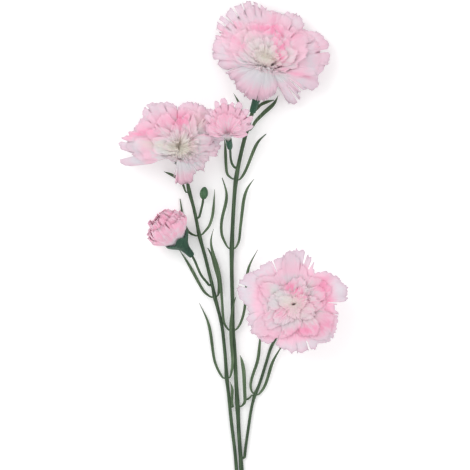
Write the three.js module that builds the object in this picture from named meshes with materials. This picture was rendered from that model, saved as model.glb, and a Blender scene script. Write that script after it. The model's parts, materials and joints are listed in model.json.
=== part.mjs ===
// A branched spray of three carnations, lying down: stems along Y, blooms at +Y, the floor at z = 0.
// Millimetres, +Z up. The origin is under the middle of the whole spray, at its lowest point.
import * as THREE from 'three';

// Overall sizes
const sprayLength = 406; // along Y, from the cut end to the far rim of the top bloom
const sprayWidth = 168; // along X, between the outer rims of the side blooms
const drawnLength = 406; // the length and width that the routes below were drawn at
const drawnWidth = 168;
const drawnFoot = -66; // the drawn Y of the cut end, and of the line where the upper heads begin
const drawnHeads = 200;

// Stems and stalks
const mainRadius = 1.45;
const buttRadius = 1.75; // the main stem below its first branch
const leftRadius = 1.25;
const rightRadius = 1.1;
const stalkRadius = 0.9;
const knuckleSwell = 0.45; // how far a leaf joint stands out from its stem
const knuckleReach = 2.2; // half the length of that swelling
const clearance = 0.3; // between pieces that meet

// Leaves
const leafThickness = 0.9;
const leafRoot = 0.6; // half width where the leaf leaves its joint
const leafTip = 0.25;

// Blooms
const petalThickness = 0.6;
const calyxLength = 24;
const calyxWall = 0.8;
const throatRadius = 4.6; // of the outermost fabric layer, inside the calyx
const layerPitch = 1; // between the layers where they are gathered
const topBloomRadius = 45;
const leftBloomRadius = 39;
const rightBloomRadius = 40;
const layerInset = [0, 4, 13, 23]; // how far each layer stops short of the bloom's radius
const layerRise = [8, 13, 18, 21]; // height of each layer's rim over the calyx mouth
const layerBend = [4.5, 8, 10, 11]; // height over the mouth where the layer turns outward
const ruffle = 1.6; // height of the waves at the outermost rim
const ruffleCount = 7;

const green = { color: 0x4b6647, roughness: 0.55 };
const leafGreen = { color: 0x5f7f57, roughness: 0.5 };
const darkGreen = { color: 0x234a35, roughness: 0.5 };
const pink = { color: 0xeec4d2, roughness: 0.85 };

const spray = new THREE.Group();

function add(name, geometry, { color, roughness }) {
  const material = new THREE.MeshStandardMaterial({ color, roughness, metalness: 0 });
  const mesh = new THREE.Mesh(geometry, material);
  mesh.name = name;
  spray.add(mesh);
}

// A point of a route, stretched to the overall sizes. A longer or shorter spray differs below its
// upper heads, which keep their places beside each other.
function place([x, y, z]) {
  const stretch = 1 + (sprayLength - drawnLength) / (drawnHeads - drawnFoot);
  const below = Math.min(y, drawnHeads) - drawnFoot;
  const above = Math.max(y - drawnHeads, 0);
  return new THREE.Vector3((x * sprayWidth) / drawnWidth, drawnFoot + below * stretch + above, z);
}

// The same, for a point measured from a point of a drawn route.
const placeFrom = ([x, y, z], [dx, dy, dz]) => place([x + dx, y + dy, z + dz]);

// ---- Routes of the stems, each from its lower end to the flower head ----

const mainRoute = [
  [6.3, -66, 1.8], [5.9, -43.2, 1.8], [5.5, -21.6, 1.9], [4.6, 0.7, 2.1], [3.3, 17.3, 2.4],
  [2.4, 32.4, 2.8], [1.8, 45.4, 3.2], [0.6, 65.5, 3.6], [-0.6, 90.7, 4], [-1.9, 100.8, 4.1],
  [-1.7, 116.6, 4.2], [-2.4, 140.4, 4.2], [-2.4, 159.8, 4.3], [-1.6, 180, 4.4], [-0.7, 195.1, 4.5],
  [0.6, 209.5, 4.6], [3.6, 225.4, 4.7], [6.2, 236.2, 4.9], [8.6, 245.5, 5.6], [12.5, 257.7, 10.5],
];
const leftRoute = [
  [1.7, -11.5, 2.1], [1.1, -5.8, 2.1], [0.9, 0.7, 2.2], [-0.1, 13, 2.4], [-1.7, 25.9, 2.6],
  [-3.2, 38.9, 2.9], [-4.7, 54.7, 3.2], [-6.1, 66.2, 3.4], [-6.9, 79.9, 3.5], [-8.2, 92.9, 3.6],
  [-9.1, 101.5, 3.6], [-11.2, 111.6, 3.7], [-14.8, 124.9, 3.8], [-16.1, 131.8, 3.9],
  [-18.4, 140.4, 4], [-21.5, 153.4, 4.2], [-25.9, 169.2, 4.4], [-27.5, 177.8, 4.6],
  [-30.1, 190.1, 4.8], [-33.1, 200.6, 5.6], [-34.3, 207.6, 8.5],
];
const rightRoute = [
  [7, 8.6, 2.2], [7.3, 13, 2.3], [8.1, 19.4, 2.4], [10, 32.4, 2.4], [12, 45.4, 2.4],
  [14.6, 54.7, 2.3], [17.1, 60, 2.2], [20.7, 71.3, 1.9], [23.8, 81.4, 1.7], [26.4, 89.3, 1.5],
  [31.7, 97.9, 1.3], [37, 106, 2.2], [40.1, 111.6, 5.6], [40.8, 113.8, 11],
];
const smallFlowerRoute = [
  [-0.9, 218.2, 4.7], [-2, 220.2, 6.6], [-3, 223.4, 12], [-3.4, 227.2, 20], [-3.5, 230.6, 28],
];
const halfOpenBudRoute = [
  [-18.9, 133, 3.9], [-20.6, 135.4, 4.2], [-24, 139.4, 5.2], [-26.6, 144.7, 6.4], [-28.6, 149.8, 7.6],
  [-30.8, 154, 8.6],
];
const closedBudRoute = [
  [-25.6, 182, 4.6], [-24.8, 185.8, 4.8], [-24.1, 188.9, 5], [-23.4, 191.9, 5.3], [-23, 195, 5.6],
];

const through = (route) => new THREE.CatmullRomCurve3(route.map(place));
const mainStem = through(mainRoute);
const leftStem = through(leftRoute);
const rightStem = through(rightRoute);

// Route points that are leaf joints
const mainKnuckles = [6, 9, 12, 15, 18];
const leftKnuckles = [7, 12, 16, 19];
const rightKnuckles = [5];

const pointOn = (curve, index) => curve.getPoint(index / (curve.points.length - 1));

// A closed rod along a curve. frameAt(u) gives its two cross directions, and sizeAt(u, point) its
// two half widths.
function rod(curve, sides, steps, frameAt, sizeAt) {
  const geometry = new THREE.CylinderGeometry(1, 1, 1, sides, steps);
  const position = geometry.getAttribute('position');
  for (let i = 0; i < position.count; i += 1) {
    const step = Math.round((0.5 - position.getY(i)) * steps);
    const u = 1 - step / steps;
    const centre = curve.getPoint(u);
    const [across, over] = frameAt(steps - step);
    const [half, thick] = sizeAt(u, centre);
    centre.addScaledVector(across, position.getX(i) * half);
    centre.addScaledVector(over, position.getZ(i) * thick);
    position.setXYZ(i, centre.x, centre.y, centre.z);
  }
  return geometry;
}

// A round stem with a swelling at each leaf joint.
function stem(curve, radiusAt, knuckles, stepsPerPoint) {
  const steps = (curve.points.length - 1) * stepsPerPoint;
  const joints = knuckles.map((index) => pointOn(curve, index));
  const frames = carriedFrames(curve, steps);
  return rod(curve, 6, steps, (i) => frames[i], (u, centre) => {
    const near = joints.map((joint) => Math.exp(-((joint.distanceTo(centre) / knuckleReach) ** 2)));
    const radius = radiusAt(centre) + knuckleSwell * Math.max(0, ...near);
    return [radius, radius];
  });
}

// Cross directions that don't twist about the curve.
function carriedFrames(curve, steps) {
  const frames = [];
  let across = new THREE.Vector3(0, 0, 1);
  for (let i = 0; i <= steps; i += 1) {
    const along = curve.getTangent(i / steps);
    across = across.clone().addScaledVector(along, -across.dot(along)).normalize();
    frames.push([across, across.clone().cross(along)]);
  }
  return frames;
}

const buttTop = place([0, 9, 0]).y; // the first branch
const mainRadiusAt = ({ y }) => (y < buttTop ? buttRadius : mainRadius);
add('main_stem', stem(mainStem, mainRadiusAt, mainKnuckles, 2), green);
add('left_stem', stem(leftStem, () => leftRadius, leftKnuckles, 2), green);
add('right_stem', stem(rightStem, () => rightRadius, rightKnuckles, 2), green);

// A stalk starts beside its stem, clear of it by the named clearance.
function stalk(route, parent, parentRadius) {
  const points = route.map(place);
  const samples = parent.getPoints(200);
  const near = samples.reduce((a, b) => (a.distanceTo(points[0]) < b.distanceTo(points[0]) ? a : b));
  const away = points[0].clone().sub(near).normalize();
  points[0] = near.addScaledVector(away, parentRadius + stalkRadius + clearance);
  return new THREE.CatmullRomCurve3(points);
}

const smallFlowerStalk = stalk(smallFlowerRoute, mainStem, mainRadius);
const halfOpenBudStalk = stalk(halfOpenBudRoute, leftStem, leftRadius);
const closedBudStalk = stalk(closedBudRoute, leftStem, leftRadius);
add('small_flower_stalk', stem(smallFlowerStalk, () => stalkRadius, [], 2), green);
add('half_open_bud_stalk', stem(halfOpenBudStalk, () => stalkRadius, [], 2), green);
add('closed_bud_stalk', stem(closedBudStalk, () => stalkRadius, [], 2), green);

// ---- Leaves: narrow blades in pairs, each route measured from the middle of its joint ----

const leaves = [
  ['main_leaf_1_right', mainStem, 6, 1, 2.2,
    [[5, 2.6, 0.6], [5.4, 5, 1], [5, 13.7, 1.2], [4.5, 25.9, 1.2], [3, 33.8, 1.4], [1.8, 37.1, 2.6]]],
  ['main_leaf_1_left', mainStem, 6, -1, 1.8,
    [[-3.9, 1.4, 0.8], [-4.1, 5, 1.8], [-3.9, 9.4, 2.3], [-3.8, 13, 2.5], [-5.4, 18, 2.8]]],
  ['main_leaf_2_left', mainStem, 9, -1, 1.8,
    [[-4.6, 2.2, 0.6], [-6, 4.8, 2], [-6.8, 7.9, 2.6], [-7.3, 20.2, 2.8], [-8.5, 33.1, 2.8],
      [-9.6, 43.2, 2.8], [-13, 51.8, 2.8], [-15.6, 60.5, 2.8], [-15.5, 66.5, 2.9], [-13.5, 72.9, 3.1]]],
  ['main_leaf_2_right', mainStem, 9, 1, 1.8,
    [[5, 3, 0.3], [7.1, 7.9, 0.8], [8.9, 15.1, 1.2], [10.1, 29.5, 1.6], [10.7, 40.5, 1.8],
      [12.5, 47.5, 2], [18.5, 58, 2.4]]],
  ['main_leaf_3_left', mainStem, 12, -1, 1.9,
    [[-6.1, 6.5, 0.3], [-7.4, 10.8, 0.6], [-7.4, 20.2, 1], [-4, 33.1, 1.4], [-3.7, 40.5, 1.6],
      [-7, 50.8, 2]]],
  ['main_leaf_3_right', mainStem, 12, 1, 1.9,
    [[5.3, 5, 0.3], [6, 13, 0.6], [7.1, 21.6, 0.9], [8.6, 34.8, 1.2], [11.2, 43.2, 1.5], [16.3, 50, 2]]],
  ['main_leaf_4_left', mainStem, 15, -1, 1.8,
    [[-5.6, 2.7, 0], [-6.7, 5.5, -0.2], [-7.3, 13.7, -0.6], [-7.6, 22.3, -1], [-8.3, 30.2, -1.2]]],
  ['main_leaf_4_right', mainStem, 15, 1, 1.9,
    [[5.2, 2.9, 0.2], [7.8, 7.9, 0.6], [11.7, 18, 1.2], [16, 27.1, 1.6], [22, 32.7, 2]]],
  ['main_leaf_5_left', mainStem, 18, -1, 1.8,
    [[-4, 4, 0], [-4.6, 10.8, 0.2], [-5, 17.3, 0.4], [-9.7, 25.9, 0.6]]],
  ['main_leaf_5_right', mainStem, 18, 1, 2.4,
    [[6.3, 5.8, -0.2], [9.6, 9.2, -0.6], [13, 12.6, -1], [19.8, 18.7, -1.2], [22.5, 24.5, -1.2]]],
  ['left_leaf_1_left', leftStem, 7, -1, 1.8,
    [[-4.7, 2.9, 0], [-8.4, 10.8, -0.3], [-10.1, 20.9, -0.6], [-11.6, 32.4, -0.8], [-13.8, 41.8, -1],
      [-20, 54.3, -1.2]]],
  ['left_leaf_1_right', leftStem, 7, 1, 2,
    [[3.4, 3.8, 1.8], [4.4, 8.6, 3.8], [4.2, 15.8, 4.2], [3.4, 24.5, 4.2], [3.1, 33.1, 4.2],
      [3.3, 41.8, 4.1], [4.3, 50.4, 4], [6.6, 58.2, 3.8]]],
  ['left_leaf_2_left', leftStem, 12, -1, 1.8,
    [[-6.7, 2.5, -0.6], [-9.3, 6.1, -1.2], [-13.6, 14, -1.8], [-19.2, 24.1, -2.2], [-25.9, 34.2, -2.4]]],
  ['left_leaf_2_right', leftStem, 12, 1, 2.6,
    [[3.4, 4.6, -0.3], [3.6, 9, -0.6], [3.1, 13.3, -0.8], [1.1, 20.5, -0.8], [-1.5, 28.9, -0.6],
      [-5, 35, -0.4]]],
  ['left_leaf_3_left', leftStem, 16, -1, 1.7,
    [[-6.3, 1.2, -1.2], [-8.3, 3.2, -1.8], [-10.4, 7.2, -2.4], [-12.2, 15.8, -2.8], [-13.8, 26.3, -2.8]]],
  ['left_leaf_3_right', leftStem, 16, 1, 1.7,
    [[4.9, 3.6, -0.2], [7.1, 6.2, -0.5], [9.6, 13.7, -0.8], [10.5, 21.6, -0.8], [11.2, 33.1, -0.6]]],
  ['left_leaf_4', leftStem, 19, -1, 1.7,
    [[-5.4, 6.8, -0.6], [-11.4, 11.4, -1.6], [-18.4, 14.5, -2.4]]],
  ['right_leaf_left', rightStem, 5, -1, 1.9,
    [[-3.5, 5.5, 0.2], [-2, 13, 0.6], [1.8, 23.8, 1], [3.1, 35.3, 1.4], [4.8, 51.8, 2]]],
  ['right_leaf_right', rightStem, 5, 1, 1.9,
    [[5.4, 3, 0.2], [7.5, 7, 0.6], [10, 15.1, 1], [12.8, 23.8, 1.2], [20.7, 36.7, 1.6]]],
];

function leafSize(width) {
  return (u) => {
    const opening = THREE.MathUtils.smoothstep(u, 0, 0.16);
    const closing = THREE.MathUtils.smoothstep(u, 0.68, 1);
    const body = THREE.MathUtils.lerp(leafRoot, width / 2, opening);
    const thick = THREE.MathUtils.lerp(leafThickness / 2, leafTip, closing);
    return [THREE.MathUtils.lerp(body, leafTip, closing), thick];
  };
}

// A blade that keeps its face up.
function leafBlade(points, width) {
  const curve = new THREE.CatmullRomCurve3(points);
  const steps = 11;
  const up = new THREE.Vector3(0, 0, 1);
  const frameAt = (i) => {
    const along = curve.getTangent(i / steps);
    const across = along.clone().cross(up).normalize();
    return [across, across.clone().cross(along)];
  };
  return rod(curve, 4, steps, frameAt, leafSize(width));
}

// Where a leaf leaves its joint, square to the stem in plan.
function leafStart(curve, index, side, radius) {
  const along = curve.getTangent(index / (curve.points.length - 1));
  const out = new THREE.Vector3(along.y, -along.x, 0).normalize();
  const reach = radius + knuckleSwell + clearance + leafRoot;
  return pointOn(curve, index).addScaledVector(out, side * reach);
}

const stemRadius = new Map([[mainStem, mainRadius], [leftStem, leftRadius], [rightStem, rightRadius]]);
const drawnRoute = new Map([[mainStem, mainRoute], [leftStem, leftRoute], [rightStem, rightRoute]]);
for (const [name, curve, index, side, width, route] of leaves) {
  const start = leafStart(curve, index, side, stemRadius.get(curve));
  const rest = route.map((point) => placeFrom(drawnRoute.get(curve)[index], point));
  add(name, leafBlade([start, ...rest], width), leafGreen);
}

// A short leaf lies beside the foot of the top bloom's calyx.
const bractRoute = [[3.4, 2, -0.5], [5.5, 5, -1], [9.1, 7, -1], [15.6, 8.7, -0.5]];
const bractPoints = bractRoute.map((point) => placeFrom(mainRoute[mainRoute.length - 1], point));
add('top_bloom_bract', leafBlade(bractPoints, 2), leafGreen);

// The right stem's third, short leaf curls down from under its pair.
const curlStart = leafStart(rightStem, 5, -1, rightRadius).add(new THREE.Vector3(-0.3, -2, 0));
const curlRoute = [[-4.6, -3.4, -0.3], [-6.8, -4.6, -0.6]];
const curlPoints = curlRoute.map((point) => placeFrom(rightRoute[5], point));
add('right_leaf_curl', leafBlade([curlStart, ...curlPoints], 1.2), leafGreen);

// ---- Flower heads: each stands on the end of its stem, along its own axis ----

// Turns local coordinates, with +Z along the head's axis, to the spray's. The head clears the
// stem's slanting end.
function headFrame(curve, radius, axis) {
  const along = new THREE.Vector3(...axis).normalize();
  const across = new THREE.Vector3(1, 0, 0);
  across.addScaledVector(along, -across.dot(along)).normalize();
  const slant = radius * Math.sin(curve.getTangent(1).angleTo(along));
  const base = curve.getPoint(1).addScaledVector(along, clearance + slant);
  return new THREE.Matrix4().makeBasis(across, along.clone().cross(across), along).setPosition(base);
}

// A cup or bud turned about the head's axis. The outline is [radius, height] and starts and ends
// on the axis.
function turned(outline, sides, frame) {
  const points = outline.map(([radius, height]) => new THREE.Vector2(radius, height));
  const geometry = new THREE.LatheGeometry(points, sides);
  geometry.rotateX(Math.PI / 2);
  return geometry.applyMatrix4(frame);
}

// One die-cut fabric layer. profile holds a ring's [radius, height] each, from the gathered throat
// to the rim. lobes, depth, reach and toward shape its outline, lean tips it over its throat,
// level is the lowest its middle surface may lie, and wave is the height of its ruffles at the rim.
function petalLayer(profile, segments, frame, shape) {
  const { lobes, depth, reach, toward, lean, level, wave } = shape;
  const last = profile.length - 1;
  const rim = Math.max(...profile.map(([radius]) => radius));
  const outline = [];
  for (let i = 0; i <= last; i += 1) outline.push([i, -1]);
  for (let i = last; i >= 0; i -= 1) outline.push([i, 1]);
  outline.push([0, -1]);
  const flat = outline.map(([ring, side]) => new THREE.Vector2(1 + ring, side));
  const geometry = new THREE.LatheGeometry(flat, segments);
  const position = geometry.getAttribute('position');
  for (let i = 0; i < position.count; i += 1) {
    const [ring, side] = outline[i % outline.length];
    const turn = ((Math.floor(i / outline.length) % segments) / segments) * 2 * Math.PI;
    const [radius, height] = profile[ring];
    const [before, after] = [profile[Math.max(ring - 1, 0)], profile[Math.min(ring + 1, last)]];
    const slope = new THREE.Vector2(after[0] - before[0], after[1] - before[1]).normalize();
    const out = radius / rim;
    const aside = Math.cos(turn - toward);
    const spread = radius * (1 + out * out * (depth * Math.cos(lobes * turn) + reach * aside));
    const tip = lean * Math.max(0, radius - 2 * throatRadius) * aside;
    const lift = height + tip + wave * out * out * Math.cos(ruffleCount * turn);
    const point = new THREE.Vector3(Math.cos(turn) * spread, Math.sin(turn) * spread, lift);
    point.applyMatrix4(frame);
    point.z = Math.max(point.z, level);
    const face = new THREE.Vector3(-slope.y * Math.cos(turn), -slope.y * Math.sin(turn), slope.x);
    face.transformDirection(frame);
    point.addScaledVector(face, (side * petalThickness) / 2);
    position.setXYZ(i, point.x, point.y, point.z);
  }
  geometry.deleteAttribute('normal');
  return geometry;
}

// The calyx of a big bloom: a plug on the stem, a tube that holds the layers, and the peg that
// they are threaded on.
function bloomCalyx(frame) {
  const inner = throatRadius + petalThickness / 2 + 2 * clearance;
  const outer = inner + calyxWall;
  const peg = throatRadius - 3 * layerPitch - petalThickness / 2 - clearance;
  const floor = calyxLength - 9;
  const outline = [
    [0, 0], [1.9, 0.2], [2.5, 3], [2, 6], [2.6, 8], [outer * 0.85, floor - 1], [outer, floor + 4],
    [outer + 0.3, calyxLength], [inner + 0.3, calyxLength], [inner, floor], [peg, floor],
    [peg, calyxLength], [0, calyxLength],
  ];
  return turned(outline, 10, frame);
}

function bloom(name, curve, stemEnd, axis, radius, shape) {
  const frame = headFrame(curve, stemEnd, axis);
  add(`${name}_calyx`, bloomCalyx(frame), darkGreen);
  layerInset.forEach((inset, k) => {
    const throat = throatRadius - k * layerPitch;
    const spread = radius - inset - throat;
    const rise = layerRise[k] - layerBend[k];
    const profile = [
      [throat, calyxLength - 8.4],
      [throat, calyxLength + 0.5],
      [throat + 0.2 * spread, calyxLength + layerBend[k]],
      [throat + 0.5 * spread, calyxLength + layerBend[k] + 0.55 * rise],
      [throat + 0.78 * spread, calyxLength + layerBend[k] + 0.85 * rise],
      [throat + spread, calyxLength + layerRise[k]],
    ];
    const wave = ruffle * ((radius - inset) / radius) ** 2;
    const level = petalThickness / 2 + 0.05 + k * (1.5 * petalThickness + 2 * clearance);
    const geometry = petalLayer(profile, 28, frame, { ...shape, lobes: 7, depth: 0.05, level, wave });
    add(`${name}_petals_${k + 1}`, geometry, pink);
  });
}

const farSide = Math.PI / 2;
bloom('top_bloom', mainStem, mainRadius, [0.25, 0.81, 0.53], topBloomRadius,
  { reach: 0.3, toward: farSide, lean: 0.5 });
bloom('left_bloom', leftStem, leftRadius, [-0.17, 0.68, 0.71], leftBloomRadius,
  { reach: 0.2, toward: Math.PI, lean: 0 });
bloom('right_bloom', rightStem, rightRadius, [0.03, 0.17, 0.98], rightBloomRadius,
  { reach: 0, toward: 0, lean: 0 });

// The small open flower, a bulb with two layers.
const smallFrame = headFrame(smallFlowerStalk, stalkRadius, [-0.12, 0.66, 0.74]);
const smallCalyx = [
  [0, 0], [1.1, 0.1], [1.9, 2.6], [1.8, 5], [1.4, 6.6], [3.2, 10], [2.7, 10.1], [1.9, 8.1], [0, 7.9],
];
add('small_flower_calyx', turned(smallCalyx, 8, smallFrame), darkGreen);
const smallShape = { lobes: 5, depth: 0.08, reach: 0.1, toward: farSide, lean: 0, level: 0.5, wave: 1 };
const smallProfiles = [
  [[1.2, 8.6], [3, 13], [11, 20], [21, 23]],
  [[0.8, 11], [2, 15], [7.5, 23.5], [14, 28]],
];
smallProfiles.forEach((profile, k) => {
  add(`small_flower_petals_${k + 1}`, petalLayer(profile, 20, smallFrame, smallShape), pink);
});

// The half-open bud: a flared cup with the ball of its petals.
const budFrame = headFrame(halfOpenBudStalk, stalkRadius, [-0.64, 0.73, 0.25]);
const budCalyx = [
  [0, 0], [1.4, 0.1], [1.4, 1.4], [2.1, 2.6], [1.6, 4.6], [2, 7], [4.8, 11], [9.2, 17.5], [8.6, 17.7],
  [4, 12], [1.9, 9.2], [0, 9],
];
add('half_open_bud_calyx', turned(budCalyx, 10, budFrame), darkGreen);
const budShape = { lobes: 6, depth: 0.03, reach: 0, toward: 0, lean: 0, level: 0.5, wave: 0.5 };
const budProfiles = [
  [[1.4, 10], [6.6, 17.2], [12.6, 22.5], [13, 28], [8, 36]],
  [[1, 11.7], [5, 18.4], [10.8, 23.9], [11, 28], [6, 34.5]],
];
budProfiles.forEach((profile, k) => {
  add(`half_open_bud_petals_${k + 1}`, petalLayer(profile, 18, budFrame, budShape), pink);
});

// The closed green bud.
const closedFrame = headFrame(closedBudStalk, stalkRadius, [0.13, 0.98, 0.12]);
const closedBud = [[0, 0], [1.1, 0.1], [2.5, 2], [2.8, 4.2], [2.2, 6.6], [1, 8.2], [0, 8.6]];
add('closed_bud', turned(closedBud, 10, closedFrame), leafGreen);

// Origin under the middle of the spray.
const box = new THREE.Box3().setFromObject(spray);
const middle = box.getCenter(new THREE.Vector3());
spray.position.set(-middle.x, -middle.y, -box.min.z);

export default spray;
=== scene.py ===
import bisect
import json
import math

import bmesh
import bpy
from mathutils import Matrix, Vector, noise
from mathutils.bvhtree import BVHTree

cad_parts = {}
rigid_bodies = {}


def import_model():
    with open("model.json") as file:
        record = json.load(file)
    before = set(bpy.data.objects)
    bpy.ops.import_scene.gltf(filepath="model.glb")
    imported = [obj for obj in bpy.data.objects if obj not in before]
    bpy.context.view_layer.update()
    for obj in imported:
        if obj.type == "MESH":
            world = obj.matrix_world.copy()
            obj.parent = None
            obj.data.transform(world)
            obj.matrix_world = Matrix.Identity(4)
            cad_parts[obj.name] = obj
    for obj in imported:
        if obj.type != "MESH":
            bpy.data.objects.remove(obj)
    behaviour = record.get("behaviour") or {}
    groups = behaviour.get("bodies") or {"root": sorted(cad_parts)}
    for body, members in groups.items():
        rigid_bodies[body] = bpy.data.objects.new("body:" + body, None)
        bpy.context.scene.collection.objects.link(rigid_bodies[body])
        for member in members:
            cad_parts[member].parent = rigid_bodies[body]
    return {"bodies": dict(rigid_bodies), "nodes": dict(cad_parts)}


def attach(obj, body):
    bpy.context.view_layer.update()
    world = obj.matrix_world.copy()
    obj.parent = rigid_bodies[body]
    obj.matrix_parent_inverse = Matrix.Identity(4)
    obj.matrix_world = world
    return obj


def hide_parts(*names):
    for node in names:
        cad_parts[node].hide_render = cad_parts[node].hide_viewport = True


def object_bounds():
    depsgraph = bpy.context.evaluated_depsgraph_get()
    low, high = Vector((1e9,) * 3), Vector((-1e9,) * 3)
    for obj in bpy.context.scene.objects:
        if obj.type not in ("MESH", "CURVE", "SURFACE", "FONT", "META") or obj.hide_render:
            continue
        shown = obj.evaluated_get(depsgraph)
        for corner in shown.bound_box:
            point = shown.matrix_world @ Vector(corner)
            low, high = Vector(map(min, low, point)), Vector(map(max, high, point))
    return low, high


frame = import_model()
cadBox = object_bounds()
body = next(iter(frame["bodies"]))
nodes = frame["nodes"]
mm = 0.001
scene = bpy.context.scene


def finishPiece(name, bm, materials, replaced):
    # a mesh object that rides on the body, carries its materials and stands for one CAD node
    mesh = bpy.data.meshes.new(name)
    bm.normal_update()
    bm.to_mesh(mesh)
    bm.free()
    for material in materials:
        mesh.materials.append(material)
    mesh.polygons.foreach_set("use_smooth", [True] * len(mesh.polygons))
    piece = bpy.data.objects.new(name, mesh)
    scene.collection.objects.link(piece)
    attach(piece, body)
    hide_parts(replaced)
    return piece


def addSubsurf(piece, levels):
    modifier = piece.modifiers.new("smooth", "SUBSURF")
    modifier.levels = levels
    modifier.render_levels = levels


def spun(bm, points, steps):
    # a row of points turned once round the Z axis and closed
    spoke = [bm.verts.new(point) for point in points]
    edges = [bm.edges.new(pair) for pair in zip(spoke, spoke[1:])]
    bmesh.ops.spin(bm, geom=spoke + edges, cent=(0, 0, 0), axis=(0, 0, 1), dvec=(0, 0, 0),
                   angle=2 * math.pi, steps=steps, use_merge=True, use_duplicate=False)


def ease(low, high, value):
    share = min(1.0, max(0.0, (value - low) / (high - low)))
    return share * share * (3 - 2 * share)


def roundTable(rows):
    # looks up rows of (degrees, values...) anywhere round the circle, on a smooth curve that never overshoots
    rows = sorted((row[0] % 360.0,) + row[1:] for row in rows)
    before = [(row[0] - 360.0,) + row[1:] for row in rows[-2:]]
    after = [(row[0] + 360.0,) + row[1:] for row in rows[:2]]
    rows = before + rows + after
    angles = [row[0] for row in rows]
    smallest = 0.01

    def look(angle):
        angle %= 360.0
        at = min(max(bisect.bisect_right(angles, angle), 2), len(rows) - 2)
        earlier, a, b, later = rows[at - 2:at + 2]
        span = max(b[0] - a[0], smallest)
        share = (angle - a[0]) / span
        values = []
        for k in range(1, len(a)):
            slopeA = (b[k] - earlier[k]) / max(b[0] - earlier[0], smallest) * span
            slopeB = (later[k] - a[k]) / max(later[0] - a[0], smallest) * span
            cap = 1.5 * abs(b[k] - a[k])
            slopeA = max(-cap, min(cap, slopeA))
            slopeB = max(-cap, min(cap, slopeB))
            s2, s3 = share * share, share ** 3
            values.append((2 * s3 - 3 * s2 + 1) * a[k] + (s3 - 2 * s2 + share) * slopeA
                          + (3 * s2 - 2 * s3) * b[k] + (s3 - s2) * slopeB)
        return values

    return look


# camera, light and floor
studio = {
    "lens": 400.0, "sensor": 36.0, "clip": (0.05, 30.0),
    "across": 0.3384, "above top": 0.0036, "right of middle": 0.0004, "focus level": 0.012,
    "floor size": 6.0, "floor colour": (0.93, 0.93, 0.93, 1.0), "floor glow": 0.16,
    "world": 0.92, "key": 8.0, "key place": (-0.9, 0.7, 1.5), "key size": 1.3,
    "fill": 2.0, "fill place": (1.2, -0.5, 1.2), "fill size": 1.6,
}


def makeStudio(s):
    lens = bpy.data.cameras.new("camera")
    lens.type, lens.lens, lens.sensor_width = "PERSP", s["lens"], s["sensor"]
    lens.clip_start, lens.clip_end = s["clip"]
    camera = bpy.data.objects.new("camera", lens)
    scene.collection.objects.link(camera)
    low, high = cadBox
    rise = s["across"] * s["lens"] / s["sensor"]
    middleX = 0.5 * (low[0] + high[0]) + s["right of middle"]
    camera.location = (middleX, high[1] + s["above top"] - 0.5 * s["across"], s["focus level"] + rise)
    scene.camera = camera

    white = (1.0, 1.0, 1.0, 1.0)
    world = bpy.data.worlds.new("studio")
    world.use_nodes = True
    background = world.node_tree.nodes["Background"]
    background.inputs["Color"].default_value = white
    background.inputs["Strength"].default_value = s["world"]
    scene.world = world
    for name in ("key", "fill"):
        data = bpy.data.lights.new(name, "AREA")
        data.shape, data.size, data.energy = "DISK", s[name + " size"], s[name]
        light = bpy.data.objects.new(name, data)
        light.visible_camera = False
        light.location = s[name + " place"]
        light.rotation_euler = (-Vector(s[name + " place"])).to_track_quat("-Z", "Y").to_euler()
        scene.collection.objects.link(light)

    bm = bmesh.new()
    bmesh.ops.create_grid(bm, x_segments=1, y_segments=1, size=0.5 * s["floor size"])
    mesh = bpy.data.meshes.new("floor")
    bm.to_mesh(mesh)
    bm.free()
    floor = bpy.data.objects.new("floor", mesh)
    scene.collection.objects.link(floor)
    paper = bpy.data.materials.new("paper")
    paper.use_nodes = True
    shader = paper.node_tree.nodes["Principled BSDF"]
    shader.inputs["Base Color"].default_value = s["floor colour"]
    shader.inputs["Roughness"].default_value = 0.9
    shader.inputs["Specular IOR Level"].default_value = 0.1
    shader.inputs["Emission Color"].default_value = white
    shader.inputs["Emission Strength"].default_value = s["floor glow"]
    mesh.materials.append(paper)
    scene.view_settings.view_transform = "Standard"
    scene.view_settings.look = "None"


makeStudio(studio)
print("studio ready")


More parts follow.
